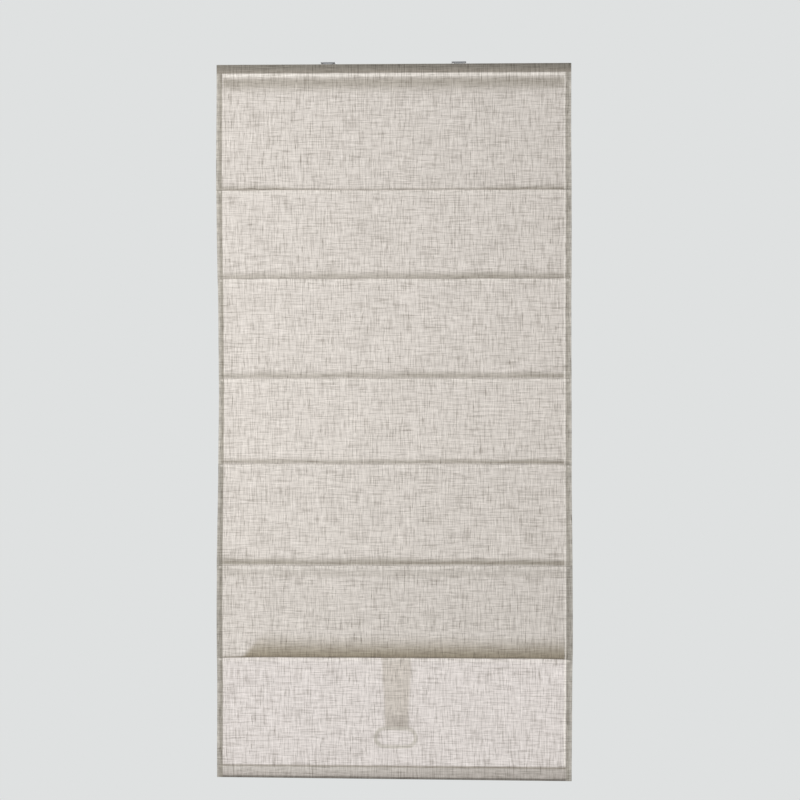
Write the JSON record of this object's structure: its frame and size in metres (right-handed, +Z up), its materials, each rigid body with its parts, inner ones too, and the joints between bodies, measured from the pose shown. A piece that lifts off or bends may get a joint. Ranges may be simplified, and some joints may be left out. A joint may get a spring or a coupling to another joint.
{
  "type": "roman blind",
  "caption": "Cordless linen-look roman blind let down to its full drop, with batten tucks across the cloth, a headrail with a spring motor, and a pull strap with an oval handle behind.",
  "frame": {"origin": "centre of the top faces of the two mounting brackets, where they meet the window head", "axes": "+Z up; the room side is at -Y and the window at +Y; +X to the right seen from the room"},
  "size_m": [0.787, 0.0402, 1.587],
  "materials": {
    "shade_cloth": "slubbed linen look",
    "strap_cloth": "slubbed linen look",
    "tape": "hook and loop",
    "cord": "braided",
    "rail_paint": "white powder coat",
    "zinc_steel": "zinc plated",
    "shaft_steel": "drawn",
    "spring_steel": "blued strip",
    "rod_steel": "plain",
    "white_plastic": "moulded",
    "grey_plastic": "moulded",
    "batten_plastic": "extruded",
    "clear_plastic": "moulded",
    "handle_plastic": "moulded cream"
  },
  "bodies": {
    "headrail": {"headrail_channel": "rail_paint", "hook_tape": "tape", "loop_tape": "tape", "storage_pin": "shaft_steel", "balance_spring": "spring_steel", "motor_base": "white_plastic", "motor_cover": "white_plastic", "motor_screws": "zinc_steel", "shade_panel_1": "shade_cloth", "shade_panel_2": "shade_cloth", "batten_1": "batten_plastic", "end_cap_left": "white_plastic", "end_cap_right": "white_plastic", "bracket_left": "zinc_steel", "bracket_right": "zinc_steel", "cord_bushing_left": "white_plastic", "cord_bushing_right": "white_plastic", "cradle_left": "white_plastic", "cradle_right": "white_plastic", "lift_cord_left": "cord", "lift_cord_right": "cord"},
    "drive": {"drive_shaft": "shaft_steel", "output_drum": "grey_plastic", "spool_left": "grey_plastic", "spool_right": "grey_plastic", "cord_wrap_left": "cord", "cord_wrap_right": "cord", "shaft_collar_left": "grey_plastic", "shaft_collar_right": "grey_plastic"},
    "storage": {"storage_drum": "grey_plastic"},
    "rib_1": {"shade_panel_3": "shade_cloth", "shade_panel_4": "shade_cloth", "batten_2": "batten_plastic", "batten_3": "batten_plastic", "cord_guide_2_left": "clear_plastic", "cord_guide_2_right": "clear_plastic"},
    "rib_2": {"shade_panel_5": "shade_cloth", "shade_panel_6": "shade_cloth", "batten_4": "batten_plastic", "batten_5": "batten_plastic", "cord_guide_4_left": "clear_plastic", "cord_guide_4_right": "clear_plastic"},
    "rib_3": {"shade_panel_7": "shade_cloth", "batten_6": "batten_plastic", "hem_rod": "rod_steel", "pull_strap": "strap_cloth", "cord_guide_6_left": "clear_plastic", "cord_guide_6_right": "clear_plastic", "cord_stop_left": "white_plastic", "cord_stop_right": "white_plastic", "rod_plug_left": "white_plastic", "rod_plug_right": "white_plastic"},
    "handle": {"pull_handle": "handle_plastic"}
  },
  "joints": [
    {"name": "rib_1_lift", "type": "slide", "parent": "headrail", "child": "rib_1", "axis": [0, 0, 1], "range_m": [0, 0.386], "deforming": ["shade_panel_2", "lift_cord_left", "lift_cord_right"]},
    {"name": "rib_2_lift", "type": "slide", "parent": "rib_1", "child": "rib_2", "axis": [0, 0, 1], "range_m": [0, 0.374], "deforming": ["shade_panel_4"]},
    {"name": "rib_3_lift", "type": "slide", "parent": "rib_2", "child": "rib_3", "axis": [0, 0, 1], "range_m": [0, 0.404], "deforming": ["shade_panel_6"]},
    {"name": "shaft_turn", "type": "hinge", "parent": "headrail", "child": "drive", "pos_m": [0, -0.00555, -0.015], "axis": [1, 0, 0], "range_deg": [0, 10184], "deforming": ["balance_spring"]},
    {"name": "storage_turn", "type": "hinge", "parent": "headrail", "child": "storage", "pos_m": [0, 0.00945, -0.015], "axis": [1, 0, 0], "range_deg": [0, 10184]},
    {"name": "handle_swing", "type": "hinge", "parent": "rib_3", "child": "handle", "pos_m": [0.005, 0.0004, -1.478], "axis": [1, 0, 0], "range_deg": [0, 80]}
  ],
  "couplings": [
    {"joint": "rib_2_lift", "follows": "rib_1_lift", "ratio": 0.9689},
    {"joint": "rib_3_lift", "follows": "rib_1_lift", "ratio": 1.0466},
    {"joint": "shaft_turn", "follows": "rib_1_lift", "rad_per_m": 460.4},
    {"joint": "storage_turn", "follows": "rib_1_lift", "rad_per_m": 460.4}
  ]
}
